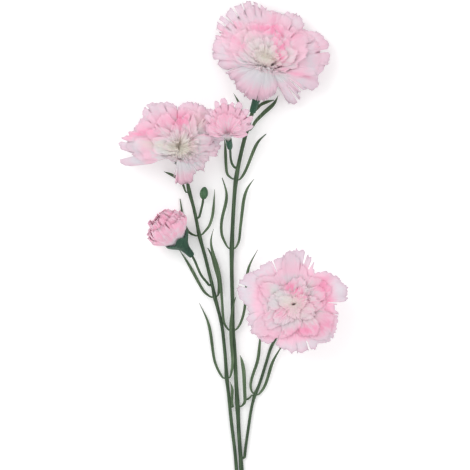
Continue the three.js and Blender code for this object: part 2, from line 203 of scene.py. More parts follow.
class Recipe:
    # a material being made: its node tree and short ways to add to it

    def __init__(self, name):
        self.material = bpy.data.materials.new(name)
        self.material.use_nodes = True
        self.tree = self.material.node_tree
        self.shader = self.tree.nodes["Principled BSDF"]

    def add(self, kind, links=(), **settings):
        node = self.tree.nodes.new(kind)
        for key, value in settings.items():
            setattr(node, key, value)
        for socket, source in links:
            if hasattr(source, "links"):
                self.tree.links.new(source, node.inputs[socket])
            else:
                node.inputs[socket].default_value = source
        return node

    def ramp(self, source, stops):
        node = self.add("ShaderNodeValToRGB", [(0, source)])
        band = node.color_ramp
        while len(band.elements) < len(stops):
            band.elements.new(0.5)
        for element, (place, colour) in zip(band.elements, stops):
            element.position = place
            element.color = colour + (1.0,)
        return node.outputs["Color"]

    def grey(self, source, low, high):
        # a ramp between two (place, grey value) stops
        return self.ramp(source, [(place, (value,) * 3) for place, value in (low, high)])

    def mix(self, share, below, colour):
        node = self.add("ShaderNodeMix", data_type="RGBA")
        self.tree.links.new(share, node.inputs[0])
        self.tree.links.new(below, node.inputs[6])
        node.inputs[7].default_value = colour + (1.0,)
        return node.outputs[2]

    def maths(self, operation, a, b):
        return self.add("ShaderNodeMath", [(0, a), (1, b)], operation=operation).outputs[0]

    def around(self, source, strength):
        # a noise made to swing about zero, times its strength
        return self.maths("MULTIPLY", self.maths("SUBTRACT", source, 0.5), strength)

    def noise(self, place, scale, detail, roughness):
        node = self.add("ShaderNodeTexNoise", [("Vector", place), ("Scale", scale), ("Detail", detail),
                                               ("Roughness", roughness)])
        return node.outputs["Fac"]

    def attribute(self, name):
        return self.add("ShaderNodeAttribute", attribute_name=name).outputs["Fac"]

    def stretched(self, scale, source=None):
        if source is None:
            source = self.add("ShaderNodeTexCoord").outputs["Object"]
        return self.add("ShaderNodeMapping", [("Vector", source), ("Scale", scale)]).outputs["Vector"]

    def set(self, **values):
        for key, value in values.items():
            self.shader.inputs[key.replace("_", " ")].default_value = value

    def link(self, source, socket):
        self.tree.links.new(source, self.shader.inputs[socket])

    def bump(self, height, strength, distance, before=None):
        links = [("Height", height), ("Strength", strength), ("Distance", distance)]
        if before is not None:
            links.append(("Normal", before))
        return self.add("ShaderNodeBump", links).outputs["Normal"]


silk = {
    "cream": (0.76, 0.67, 0.60), "white": (0.72, 0.69, 0.71), "pink": (0.90, 0.53, 0.65), "cool": (0.66, 0.65, 0.70),
    "edge": (0.69, 0.57, 0.65), "hot": (0.95, 0.33, 0.50), "green shade": (0.60, 0.60, 0.47),
    "underside": (0.70, 0.69, 0.72), "fold cream": (0.74, 0.69, 0.61), "hem": (0.66, 0.47, 0.57),
    # painted shade for the inside base of the petals, mixed in by the shade attribute
    "painted throat shade": (0.22, 0.27, 0.19),
    "front": [(0.0, "green shade"), (0.08, "cream"), (0.26, "white"), (0.40, "white"), (0.52, "pink"), (0.62, "pink"),
              (0.74, "cool"), (0.88, "edge"), (1.0, "edge")],
    "back": [(0.0, "cream"), (0.2, "underside"), (0.72, "underside"), (0.88, "edge"), (1.0, "pink")],
    "streaks": (64.0, 2.6, 1.0), "blotches": 8.0, "blotch wobble": 0.42, "streak wobble": 0.26,
    "threads": 330.0, "thread depth": 0.00004, "streak depth": 0.0008,
}


def silkMaterial(name, s, side):
    # dye attributes painted on the petals, broken up by streaks from the middle outwards and by blotches; the shade
    # attribute adds painted shade at the base of the petals
    r = Recipe(name)
    dye = r.attribute("dye")
    cloth = r.add("ShaderNodeUVMap", uv_map="cloth").outputs["UV"]
    spokes = r.add("ShaderNodeUVMap", uv_map="spokes").outputs["UV"]
    streaks = r.noise(r.stretched(s["streaks"], spokes), 1.0, 4.0, 0.6)
    blotches = r.noise(cloth, s["blotches"], 5.0, 0.62)
    wobble = r.maths("ADD", r.around(blotches, s["blotch wobble"]), r.around(streaks, s["streak wobble"]))
    colour = r.ramp(r.maths("ADD", dye, wobble), [(place, s[dyeAndShade]) for place, dyeAndShade in s[side]])
    runs = r.grey(streaks, (0.3, 0.35), (0.6, 1.0))
    spread = r.grey(blotches, (0.35, 0.55), (0.6, 1.0))
    patches = r.grey(r.maths("ADD", streaks, r.around(blotches, 1.4)), (0.34, 0.25), (0.58, 1.0))
    # each attribute mixes in its colour; the shade attribute mixes in painted shade, not broken up by streaks
    for paint, broken, dyeAndShade in (("bleach", runs, "cool"), ("cream", runs, "fold cream"), ("tint", spread, "pink"),
                                ("blush", patches, "hot"), ("hem", None, "hem"), ("shade", None, "painted throat shade")):
        share = r.attribute(paint)
        if broken is not None:
            share = r.maths("MULTIPLY", share, broken)
        colour = r.mix(share, colour, s[dyeAndShade])
    r.link(colour, "Base Color")
    warp, weft = (r.add("ShaderNodeTexWave", [("Vector", cloth), ("Scale", s["threads"]), ("Distortion", 0.4)],
                        wave_type="BANDS", bands_direction=way).outputs["Fac"] for way in "XY")
    threads = r.bump(r.maths("ADD", warp, weft), 0.35, s["thread depth"])
    r.link(r.bump(streaks, 0.5, s["streak depth"], threads), "Normal")
    r.link(r.grey(blotches, (0.3, 0.62), (0.7, 0.8)), "Roughness")
    r.set(Sheen_Weight=0.2, Sheen_Roughness=0.5, Specular_IOR_Level=0.2, Subsurface_Weight=0.3,
          Subsurface_Scale=0.0012, Subsurface_Radius=(1.0, 0.75, 0.8))
    return r.material


greens = {
    "stem": {"deep": (0.016, 0.034, 0.016), "plain": (0.040, 0.078, 0.036), "light": (0.105, 0.170, 0.085),
             "rough": (0.42, 0.62), "specular": 0.35},
    "leaf": {"deep": (0.034, 0.062, 0.030), "plain": (0.072, 0.120, 0.060), "light": (0.150, 0.220, 0.125),
             "rough": (0.48, 0.66), "specular": 0.3},
    "calyx": {"deep": (0.008, 0.030, 0.020), "plain": (0.020, 0.075, 0.044), "light": (0.060, 0.170, 0.095),
              "rough": (0.40, 0.60), "specular": 0.35},
    "bud": {"deep": (0.018, 0.055, 0.024), "plain": (0.036, 0.115, 0.046), "light": (0.110, 0.240, 0.110),
            "rough": (0.18, 0.32), "specular": 0.5},
}


def greenMaterial(name, g):
    # moulded plastic: streaks along the stems, soft patches and a fine grain
    r = Recipe(name)
    along = r.stretched((1500.0, 55.0, 1500.0))
    streaks = r.noise(along, 1.0, 5.0, 0.62)
    patches = r.noise(r.stretched((60.0, 60.0, 60.0)), 1.0, 3.0, 0.5)
    specks = r.noise(r.stretched((2600.0, 2600.0, 2600.0)), 1.0, 2.0, 0.5)
    mottle = r.maths("ADD", r.maths("MULTIPLY", streaks, 0.65), r.maths("MULTIPLY", patches, 0.35))
    colour = r.ramp(mottle, [(0.32, g["deep"]), (0.5, g["plain"]), (0.68, g["light"])])
    r.link(colour, "Base Color")
    low, high = g["rough"]
    r.link(r.grey(patches, (0.3, low), (0.7, high)), "Roughness")
    ridges = r.bump(streaks, 0.4, 0.0003)
    r.link(r.bump(specks, 0.25, 0.00006, ridges), "Normal")
    r.set(Specular_IOR_Level=g["specular"])
    return r.material


petalFront = silkMaterial("dyed silk", silk, "front")
petalBack = silkMaterial("silk underside", silk, "back")
stemGreen = greenMaterial("stem green", greens["stem"])
leafGreen = greenMaterial("leaf green", greens["leaf"])
calyxGreen = greenMaterial("calyx green", greens["calyx"])
budGreen = greenMaterial("bud gloss green", greens["bud"])
print("materials ready")

moulding = {
    "merge": 0.00002, "flat cap": 0.0004, "stem sides": 12, "blade sides": 10, "levels": 1, "lowest": 0.1,
    "flute": 0.035, "knobs": 0.02, "sheath": 1.25, "sheath share": 0.18, "channel": 0.42, "keel": 0.30,
    "broad": 0.38, "stem root": 0.3, "blade root": 0.4,
}


def nodeMesh(name):
    bm = bmesh.new()
    bm.from_mesh(nodes[name].data)
    bmesh.ops.remove_doubles(bm, verts=bm.verts, dist=moulding["merge"])
    return bm


def routeOf(name):
    # the CAD rod's rings from one end cap to the other, each as its middle, its wide half and its thin half width
    bm = nodeMesh(name)
    sides = 6 if name.endswith(("_stem", "_stalk")) else 4
    caps = [v for v in bm.verts if len(v.link_edges) == sides
            and all(len(e.other_vert(v).link_edges) < 2 * sides for e in v.link_edges)]
    for cap in caps:
        ring = [e.other_vert(cap) for e in cap.link_edges]
        if max(abs((v.co - cap.co).dot(cap.normal)) for v in ring) < moulding["flat cap"]:
            break
    steps, seen = [], {cap}
    while len(ring) >= 3:
        middle = sum((v.co for v in ring), Vector()) / len(ring)
        spans = [a.co - b.co for i, a in enumerate(ring) for b in ring[i + 1:]]
        wide = thin = max(spans, key=lambda span: span.length) * 0.5
        if sides == 4:
            crossing = [span for span in spans if abs(span.dot(wide)) < 0.5 * span.length * wide.length]
            thin = max(crossing, key=lambda span: span.length) * 0.5
        steps.append([middle, wide, thin.length])
        seen.update(ring)
        ahead = {e.other_vert(v) for v in ring for e in v.link_edges} - seen
        ring = sorted(ahead, key=lambda v: v.index)
    bm.free()
    return steps


stemRoutes = {name: routeOf(name) for name in sorted(nodes) if name.endswith(("_stem", "_stalk"))}


def nearestRoute(point, names):
    # how far the nearest stem's middle line is, and where on it
    found = []
    for name in names:
        for (a, _, _), (b, _, _) in zip(stemRoutes[name], stemRoutes[name][1:]):
            share = max(0.0, min(1.0, (point - a).dot(b - a) / (b - a).length_squared))
            spot = a.lerp(b, share)
            found.append(((spot - point).length, spot))
    return min(found, key=lambda pair: pair[0])


def loftAlong(name, steps, sides, section, material, blade):
    # one closed rod: a ring of vertices extruded from station to station; a blade turns with its CAD rings
    bm = bmesh.new()
    made = bmesh.ops.create_circle(bm, cap_ends=False, segments=sides, radius=1.0)
    ring = sorted(made["verts"], key=lambda v: math.atan2(v.co.y, v.co.x) % (2 * math.pi))
    edges = bm.edges[:]
    across = steps[0][1].normalized()
    count = len(steps)
    for k, (middle, wide, thin) in enumerate(steps):
        ahead = (steps[min(k + 1, count - 1)][0] - steps[max(k - 1, 0)][0]).normalized()
        if blade:
            aim = wide.normalized()
            across = aim if aim.dot(across) >= 0 else -aim
        across = (across - ahead * across.dot(ahead)).normalized()
        over = ahead.cross(across)
        if blade and over.z < 0:
            across, over = -across, -over
        if k:
            places = {v: i for i, v in enumerate(ring)}
            extruded = bmesh.ops.extrude_edge_only(bm, edges=edges)["geom"]
            edges = [g for g in extruded if isinstance(g, bmesh.types.BMEdge)]
            for v in [g for g in extruded if isinstance(g, bmesh.types.BMVert)]:
                ring[next(places[e.other_vert(v)] for e in v.link_edges if e.other_vert(v) in places)] = v
        for i, v in enumerate(ring):
            x, y = section(2 * math.pi * i / sides, wide.length, thin, k, count)
            v.co = middle + across * x + over * y
            v.co.z = max(v.co.z, moulding["lowest"] * mm)
    bmesh.ops.holes_fill(bm, edges=[e for e in bm.edges if e.is_boundary], sides=0)
    ends = [f for f in bm.faces if len(f.verts) == sides]
    for end, step in zip(ends, (steps[0], steps[-1])):
        bmesh.ops.inset_region(bm, faces=[end], thickness=step[2] * 0.25, depth=0.0)
    bmesh.ops.recalc_face_normals(bm, faces=bm.faces)
    addSubsurf(finishPiece(name + "_moulded", bm, [material], name), moulding["levels"])


def stemSection(angle, half, thin, k, count):
    knobs = moulding["knobs"] * noise.noise(Vector((k * 0.9, angle, half * 900)))
    flute = 1.03 + moulding["flute"] * math.cos(3 * angle) + knobs
    return half * flute * math.cos(angle), half * flute * math.sin(angle)


def bladeSection(angle, half, thin, k, count):
    # a channelled blade: its edges turn up, and a keel runs below
    x, y = math.cos(angle), math.sin(angle)
    root = 1.0 - ease(0.0, moulding["sheath share"], k / count)
    half *= 1.0 + moulding["broad"] * ease(0.2, 0.9, k / count)
    sink = moulding["channel"] * (1 - abs(x)) if y > 0 else -moulding["keel"] * (1 - abs(x))
    fuller = 1.06 + (moulding["sheath"] - 1.0) * root
    return half * fuller * x, thin * fuller * (y - sink * (1 - root)) + thin * 0.25 * x * x * (1 - root)


def rootedSteps(steps, parents, depth):
    # the end that is nearer its stem is led on into the stem
    first, last = nearestRoute(steps[0][0], parents), nearestRoute(steps[-1][0], parents)
    if last[0] < first[0]:
        steps = steps[::-1]
        first = last
    end, wide, thin = steps[0]
    toward = first[1] - end
    lead = end + toward * (1 - depth * mm / max(toward.length, mm))
    middle = end.lerp(lead, 0.5) - (steps[1][0] - end) * 0.15
    return [[lead, wide * 0.9, thin * 0.9], [middle, wide, thin]] + steps


for name in sorted(nodes):
    if name.endswith(("_stem", "_stalk")):
        steps = stemRoutes[name]
        if name != "main_stem":
            fromMain = name.endswith("_stem") or name.startswith("small")
            steps = rootedSteps(steps, ["main_stem"] if fromMain else ["left_stem"], moulding["stem root"])
        loftAlong(name, steps, moulding["stem sides"], stemSection, stemGreen, False)
    elif "leaf" in name or name.endswith("_bract"):
        parents = [stem for stem in stemRoutes if stem.endswith("_stem")]
        steps = rootedSteps(routeOf(name), parents, moulding["blade root"])
        loftAlong(name, steps, moulding["blade sides"], bladeSection, leafGreen, True)


closedBud = {"sepals": 5, "seam": 0.06, "levels": 1, "cuts": 2, "swell": 0.00021, "axis": (0.13, 0.98, 0.12)}


def makeClosedBud(c):
    bm = nodeMesh("closed_bud")
    bmesh.ops.join_triangles(bm, faces=bm.faces, angle_face_threshold=0.9, angle_shape_threshold=1.2)
    bmesh.ops.subdivide_edges(bm, edges=bm.edges, cuts=c["cuts"], use_grid_fill=True, smooth=1.0)
    bm.normal_update()
    axis = Vector(c["axis"]).normalized()
    middle = sum((v.co for v in bm.verts), Vector()) / len(bm.verts)
    side = axis.cross(Vector((0, 0, 1))).normalized()
    other = axis.cross(side)
    for v in bm.verts:
        out = v.co - middle
        angle = math.atan2(out.dot(other), out.dot(side))
        ridge = abs(math.sin(0.5 * c["sepals"] * angle)) ** 0.5
        v.co += v.normal * c["swell"] - (out - axis * out.dot(axis)) * c["seam"] * (1 - ridge)
    addSubsurf(finishPiece("closed_bud_moulded", bm, [budGreen], "closed_bud"), c["levels"])


makeClosedBud(closedBud)
print("greens ready")


def partAxis(name, axis):
    # foot and mouth of a calyx: the middle of its lowest ring, and the same point moved to its top along the axis
    points = [v.co for v in nodes[name].data.vertices]
    heights = [p.dot(axis) for p in points]
    low, high = min(heights), max(heights)
    ring = [p for p, h in zip(points, heights) if h < low + sepals["end ring"]]
    middle = sum(ring, Vector()) / len(ring)
    foot = middle + axis * (low - middle.dot(axis))
    return foot, foot + axis * (high - low)


sepals = {
    "end ring": 0.0006, "wall": 0.0007, "sunk": 0.4, "levels": 1, "steps per tooth": 8, "flare": 0.10, "pleat": 0.035,
    "notch": 0.35,
}
calyxes = {
    "top_bloom": {"axis": (0.25, 0.81, 0.53), "teeth": 5, "tooth": 3.2,
        "profile": [(0, 1.5), (1.2, 1.8), (4, 1.8), (8, 2.0), (13, 2.5), (18, 3.3), (21, 3.9), (24, 4.5)]},
    "left_bloom": {"axis": (-0.17, 0.68, 0.71), "teeth": 5, "tooth": 3.2,
        "profile": [(0, 1.5), (1.2, 2.3), (3, 2.7), (8, 3.5), (14, 4.5), (19, 5.2), (22, 5.3), (24, 5.5)]},
    "right_bloom": {"axis": (0.03, 0.17, 0.98), "teeth": 5, "tooth": 3.2,
        "profile": [(0, 1.4), (1.2, 2.3), (3, 2.7), (8, 3.5), (14, 4.5), (19, 5.2), (22, 5.3), (24, 5.5)]},
    "small_flower": {"axis": (-0.12, 0.66, 0.74), "teeth": 5, "tooth": 2.2,
        "profile": [(0, 1.1), (1, 1.7), (3, 2.2), (6, 2.3), (8.5, 2.1), (10, 2.3)]},
    "half_open_bud": {"axis": (-0.64, 0.73, 0.25), "teeth": 6, "tooth": 3.4,
        "profile": [(0, 1.3), (2, 1.9), (6, 2.2), (9, 3.0), (11.5, 4.8), (14, 7.2), (17.5, 9.7)]},
}


def makeCalyx(flower, c):
    # a turned cup whose edge is drawn up into pointed sepals
    name = flower + "_calyx"
    axis = Vector(c["axis"]).normalized()
    foot, mouth = partAxis(name, axis)
    bm = bmesh.new()
    outline = [(radius * mm, 0.0, height * mm) for height, radius in c["profile"]]
    spun(bm, outline, c["teeth"] * sepals["steps per tooth"])
    top = c["profile"][-1][0] * mm
    for v in bm.verts:
        turn = (math.atan2(v.co.y, v.co.x) / (2 * math.pi) * c["teeth"]) % 1.0
        point = 1.0 - abs(2.0 * turn - 1.0)
        share = ease(0.6, 1.0, v.co.z / top)
        v.co.z += share * (point - sepals["notch"]) * c["tooth"] * mm
        pleat = sepals["pleat"] * math.cos(2 * math.pi * turn) * ease(0.1, 0.5, v.co.z / top)
        flare = 1.0 + sepals["flare"] * share * point - pleat
        v.co.x *= flare
        v.co.y *= flare
    bmesh.ops.recalc_face_normals(bm, faces=bm.faces)
    turned = axis.to_track_quat("Z", "Y").to_matrix().to_4x4()
    bmesh.ops.transform(bm, matrix=Matrix.Translation(foot - axis * sepals["sunk"] * mm) @ turned, verts=bm.verts)
    piece = finishPiece(name + "_sepals", bm, [calyxGreen], name)
    wall = piece.modifiers.new("wall", "SOLIDIFY")
    wall.thickness, wall.offset = sepals["wall"], -1.0
    addSubsurf(piece, sepals["levels"])
    return mouth, axis


mouths = {flower: makeCalyx(flower, c) for flower, c in calyxes.items()}
print("calyxes ready")

petalForm = {
    "hole": 0.04, "wall": 0.00022, "slit": 0.4, "lobe": 0.6, "tooth band": 0.92, "hem band": 0.94,
    "ragged rate": 3.1, "tooth rate": 37.0, "gather rates": (4.0, 8.0), "wave rate": 1.7, "ruffle rates": (5.2, 9.5),
    "crinkle rate": 13.0, "sway rate": 2.4, "full ruffle at": 24.0, "clear": 0.45, "rest from": 0.25,
    "first height": 0.5, "height step": 0.55, "landing": 1.5,
}
# what a layer has unless its own rows say otherwise, in mm, degrees and shares of the way out to the rim
plainLayer = {
    "segments": 240, "rings": 22, "crestShare": 0.5, "gather": 1.0, "sunk": 2.0, "slits": [], "gap": 0.35,
    "corner": 0.5, "cornerWide": 1.3, "lobes": (5, 0, 0), "ragged": 0, "teeth": 1.8, "smooth": [], "coarse": 1,
    "pinch": 0.6, "fold": 1.2, "curl": 1, "soft": 1.2, "dyeStart": 0, "dyeEnd": 1, "overall": 0, "tint": 0.3,
    "hem": 0.08, "shade": 0, "shadeReach": 0.3, "also": [],
}
# what the four layers of a big bloom share, from the outermost inwards
bigLayers = [
    {"hem": 0.6, "throat": 3.6, "gather": 0.7, "segments": 320, "rings": 28, "crestShare": 0.6, "sway": 1.4},
    {"throat": 3.0, "segments": 280, "rings": 24, "crestShare": 0.55, "crinkle": 0.7, "sway": 1.8, "ragged": 0.10},
    {"throat": 1.9, "crestShare": 0.55, "crinkle": 0.6, "sway": 2.0, "ragged": 0.16, "pinkness": 0.05, "tint": 0.4},
    {"throat": 0.9, "segments": 220, "crinkle": 0.5, "sway": 1.6, "ragged": 0.16, "pinkness": 0.0, "tint": 0.2,
     "pinch": 0.25, "coarse": 1.5},
]
plainBloom = {"hot": [], "rosy": [], "pale": [], "cream": []}


def apart(degrees, other):
    return (degrees - other + 180.0) % 360.0 - 180.0


def ripple(c, s, rate, depth):
    # noise that closes on itself round a disc
    return noise.noise(Vector((c * rate, s * rate, depth)))


def spots(rows, degrees, t):
    # how strongly a place lies in soft patches, each set by its angle and its share of the way out
    total = 0.0
    for angle, reach, wide, deep, strength in rows:
        off = apart(degrees, angle) / wide
        far = (t - reach) / deep
        total += strength * math.exp(-off * off - far * far)
    return max(0.0, min(1.0, total))


def stains(rows, x, y):
    # how strongly a dye has run into the cloth at a place, from oval patches set in mm from the bloom's middle
    total = 0.0
    for middleX, middleY, halfLong, halfShort, turn, strength in rows:
        c, s = math.cos(math.radians(turn)), math.sin(math.radians(turn))
        along = ((x - middleX) * c + (y - middleY) * s) / halfLong
        across = ((y - middleY) * c - (x - middleX) * s) / halfShort
        total += strength * math.exp(-along * along - across * across)
    return max(0.0, min(1.0, total))


def restingOn(trees, place):
    # the highest point of the petals already laid under a place
    hits = [tree.ray_cast(Vector((place.x, place.y, 1.0)), Vector((0, 0, -1)))[0] for tree in trees]
    return max((hit.z for hit in hits if hit is not None), default=None)


def slitDisc(layer):
    # a flat disc with a small hole, slit from the rim inwards; two maps: the disc itself, and round by outwards
    hole, step = petalForm["hole"], 360.0 / layer["segments"]
    bm = bmesh.new()
    rings = layer["rings"]
    spun(bm, [(hole + (1 - hole) * k / rings, 0.0, 0.0) for k in range(rings + 1)], layer["segments"])
    cuts = [((round((angle % 360.0) / step) % layer["segments"] + 0.5) * step, start)
            for angle, start in layer["slits"]]
    doomed = []
    for face in bm.faces:
        centre = face.calc_center_median()
        angle = math.degrees(math.atan2(centre.y, centre.x))
        if any(centre.to_2d().length > start and abs(apart(angle, cut)) < petalForm["slit"] * step
               for cut, start in cuts):
            doomed.append(face)
    bmesh.ops.delete(bm, geom=doomed, context="FACES")
    cloth = bm.loops.layers.uv.new("cloth")
    spokes = bm.loops.layers.uv.new("spokes")
    for face in bm.faces:
        centre = face.calc_center_median()
        middle = math.degrees(math.atan2(centre.y, centre.x)) % 360.0
        for loop in face.loops:
            co = loop.vert.co
            angle = middle + apart(math.degrees(math.atan2(co.y, co.x)), middle)
            loop[cloth].uv = (0.5 + 0.5 * co.x, 0.5 + 0.5 * co.y)
            loop[spokes].uv = (angle / 360.0, co.to_2d().length)
    return bm, cuts


def trimmed(layer, cuts, angle, t, reach):
    # petals of uneven length, with teeth cut into the very edge, and rounded, spread corners beside the slits
    c, s = math.cos(angle), math.sin(angle)
    step = 360.0 / layer["segments"]
    petals, depth, phase = layer["lobes"]
    lobe = abs(math.sin(0.5 * petals * angle + phase)) ** petalForm["lobe"]
    reach *= 1.0 - depth * (1.0 - lobe) * t
    reach *= 1.0 + layer["ragged"] * ripple(c, s, petalForm["ragged rate"], layer["seed"] * 1.7 + 3) * t
    tooth = ripple(c, s, petalForm["tooth rate"], layer["seed"] * 3.1)
    reach += layer["teeth"] * tooth * ease(petalForm["tooth band"], 1.0, t)
    spread = 0.0
    for cut, start in cuts:
        off = apart(math.degrees(angle), cut)
        if t > start - 0.05 and abs(off) < 6 * step:
            rounding = math.exp(-(off / (layer["cornerWide"] * step)) ** 2)
            reach -= layer["corner"] * rounding * ease(0.80, 1.0, t)
            opening = layer["gap"] * ease(start - 0.04, 1.0, t) * math.exp(-(off / (2.5 * step)) ** 2)
            spread += math.copysign(opening, off)
    return reach, spread


def throatAt(layer, axis, right, forward, angle):
    # where a layer leaves the calyx: a round ring, or a narrow crease across the bloom
    if "crease" in layer:
        turn, longHalf, shortHalf = layer["crease"]
        turn = math.radians(turn)
        lengthwise = right * math.cos(turn) + forward * math.sin(turn)
        crosswise = forward * math.cos(turn) - right * math.sin(turn)
        throat = lengthwise * math.cos(angle - turn) * longHalf + crosswise * math.sin(angle - turn) * shortHalf
        return throat - axis * throat.dot(axis)
    along = right * math.cos(angle) + forward * math.sin(angle)
    return (along - axis * along.dot(axis)).normalized() * layer["throat"]


def ruffleAt(layer, angle, t):
    c, s = math.cos(angle) / layer["coarse"], math.sin(angle) / layer["coarse"]
    slow, fast = petalForm["ruffle rates"]
    return (ripple(c, s, slow, layer["seed"] + t * 1.4 + 11)
            + 0.5 * ripple(c, s, fast, layer["seed"] + t * 1.8 + 17))


def petalDisc(flower, number, b, layer, below):
    f = petalForm
    mouth, axis = mouths[flower]
    right, forward, up = b["frame"]
    hub, seed = b["hubPoint"], layer["seed"]
    rim = roundTable(layer["rim"])
    bm, cuts = slitDisc(layer)
    paint = {dye: bm.verts.layers.float.new(dye)
             for dye in ("dye", "tint", "blush", "bleach", "cream", "hem", "shade")}
    for v in bm.verts:
        t = min(1.0, max(0.0, (v.co.to_2d().length - f["hole"]) / (1 - f["hole"])))
        angle = math.atan2(v.co.y, v.co.x)
        degrees = math.degrees(angle)
        c, s = math.cos(angle), math.sin(angle)
        along, tangent = right * c + forward * s, forward * c - right * s
        reach, height = rim(degrees)
        reach, spread = trimmed(layer, cuts, angle, t, reach)

        # a curve from inside the calyx, up over the crest and out to the rim
        crest, crestShare = layer["crest"], layer["crestShare"]
        if "nearCrest" in layer:
            nearAngle, nearWide, nearShare, nearTop = layer["nearCrest"]
            near = math.exp(-(apart(degrees, nearAngle) / nearWide) ** 4)
            crestShare += (nearShare - crestShare) * near
            crest += (nearTop - crest) * near
        throat = throatAt(layer, axis, right, forward, angle)
        p0 = mouth - axis * layer["sunk"] * mm + throat * mm * 0.6
        p1 = mouth + axis * layer["rise"] * mm + throat * 1.15 * mm
        p2 = hub + along * reach * crestShare * mm + up * (crest * mm)
        p3 = hub + along * reach * mm + up * (height * mm)
        q = 1.0 - t
        place = p0 * q ** 3 + p1 * 3 * q * q * t + p2 * 3 * q * t * t + p3 * t ** 3

        # gathers near the middle, waves and pinched ruffles towards the rim
        calm = 1.0 - 0.75 * spots(layer["smooth"], degrees, t)
        slow, fast = f["gather rates"]
        gather = ripple(c, s, slow, seed + 0.8 * t) + 0.6 * ripple(c, s, fast, seed + 5 + 1.2 * t)
        wave = ripple(c, s, f["wave rate"], b["seed"] + 0.25 * seed + t * 0.6)
        ruffle = ruffleAt(layer, angle, t)
        slope = (ruffleAt(layer, angle + 0.05, t) - ruffleAt(layer, angle - 0.05, t)) * 4.0
        crinkle = layer["crinkle"] * ripple(c, s, f["crinkle rate"], seed + t * 5.0 + 23) * t
        room = min(1.0, reach / f["full ruffle at"]) * calm
        lift = layer["gather"] * gather * ease(0.10, 0.4, t) * (1.0 - 0.6 * ease(0.55, 1.0, t))
        lift += (layer["wave"] * wave + layer["ruffle"] * ruffle) * t * t + crinkle
        sway = layer["sway"] * ripple(c, s, f["sway rate"], seed + t * 1.6 + 41) * t - layer["pinch"] * slope * t * t
        drawn = 0.6 * crinkle - 0.35 * layer["ruffle"] * abs(slope) * t * t
        place += up * (lift * room * mm) + tangent * ((sway * room + spread) * mm)
        place += along * (drawn * room * mm)

        # laid on the layers below, and never under the surface
        high = restingOn(below, place) if t > f["rest from"] else None
        if high is not None:
            fold = max(0.0, 0.5 + gather + 0.6 * ruffle) * layer["fold"] * calm
            curl = layer["curl"] * ease(0.8, 1.0, t) * (0.6 + wave + 0.8 * ruffle)
            rest = high + (f["clear"] + fold + max(0.0, curl)) * mm
            soft = layer["soft"] * mm
            if place.z < rest + soft:
                settled = rest + soft * math.exp((place.z - rest - soft) / soft)
                place.z += (settled - place.z) * ease(f["rest from"], 2 * f["rest from"], t)
        lowest = (f["first height"] + f["height step"] * (4 - number)) * mm
        landing = f["landing"] * mm
        if place.z < lowest + landing:
            place.z = lowest + landing * math.exp((place.z - lowest - landing) / (2 * landing))

        # the dyes, and painted shade at the base of the petals near the throat
        out = (place - hub).to_2d().length / (b["dyeRadius"] * mm) if "hub" in b else t
        x, y = (place.x - hub.x) / mm, (place.y - hub.y) / mm
        rosy = stains(b["rosy"], x, y) + layer["overall"] * ease(0.15, 0.5, t)
        v[paint["dye"]] = layer["dyeStart"] + (layer["dyeEnd"] - layer["dyeStart"]) * min(1.0, out)
        v[paint["tint"]] = min(1.0, layer["tint"] * ease(0.8, 0.98, t) + rosy)
        v[paint["blush"]] = min(1.0, layer["pinkness"] * ease(0.1, 0.5, t) + stains(b["hot"], x, y))
        v[paint["bleach"]] = stains(b["pale"], x, y)
        v[paint["cream"]] = stains(b["cream"], x, y)
        v[paint["hem"]] = layer["hem"] * ease(f["hem band"], 1.0, t)
        # painted shade: darkest at the throat, gone by shadeReach
        v[paint["shade"]] = layer["shade"] * (1.0 - ease(0.0, layer["shadeReach"], t))
        v.co = place
    return bm


def petalLayer(flower, number, b, layer, below):
    # one silk piece: a disc, with any smaller discs inside it
    bm = bmesh.new()
    for changes in [{}] + layer["also"]:
        disc = petalDisc(flower, number, b, {**layer, **changes}, below)
        if "hub" in b:
            below.append(BVHTree.FromBMesh(disc))
        loose = bpy.data.meshes.new("disc")
        disc.to_mesh(loose)
        disc.free()
        bm.from_mesh(loose)
        bpy.data.meshes.remove(loose)
    name = "%s_petals_%d" % (flower, number)
    piece = finishPiece(name + "_silk", bm, [petalFront, petalBack], name)
    wall = piece.modifiers.new("cloth", "SOLIDIFY")
    wall.thickness, wall.offset, wall.material_offset = petalForm["wall"], -1.0, 1


topBloom = {
    "hub": (3.8, 17.4), "seed": 3, "dyeRadius": 43,
    "hot": [(8, 17, 15, 4.2, 101, 1), (10.5, 5, 7, 3.8, 100, 1), (-1, 22, 11, 2.6, -8, 1), (19, 17, 9, 7, 0, 0.38),
        (-21, 25, 3, 3, 0, 1), (-25, 16, 12, 2, -38, 0.62), (41, 12, 6, 6, 0, 0.38), (12, -3, 10, 2.5, -8, 0.31),
        (24, -11, 12, 1.6, -10, 0.5)],
    "rosy": [(0, 24, 26, 12, 0, 0.66), (-22, 12, 16, 7, -38, 0.66), (22, 12, 12, 12, 0, 0.52),
        (40, 6, 9, 18, 0, 0.52), (-10, -27, 18, 5, -14, 0.79), (-36, 4, 6, 16, 0, 0.33), (20, -9, 20, 3, -12, 0.66)],
    "pale": [(-9, -14, 17, 9, -12, 0.98), (17, -22, 7, 12, 0, 0.89), (-25, 33, 8, 9, 45, 0.68),
        (-37, 4, 6, 18, 0, 0.3), (19, 29, 8, 7, 0, 0.34), (30, -2, 9, 7, 0, 0.39), (-22, -3, 8, 8, 0, 0.48)],
    "cream": [(-7, 8, 14, 9, -38, 0.63), (15, 3, 9, 7, 0, 0.42), (-14, 20, 7, 7, 0, 0.28), (3, -3, 14, 4, -28, 0.42)],
}
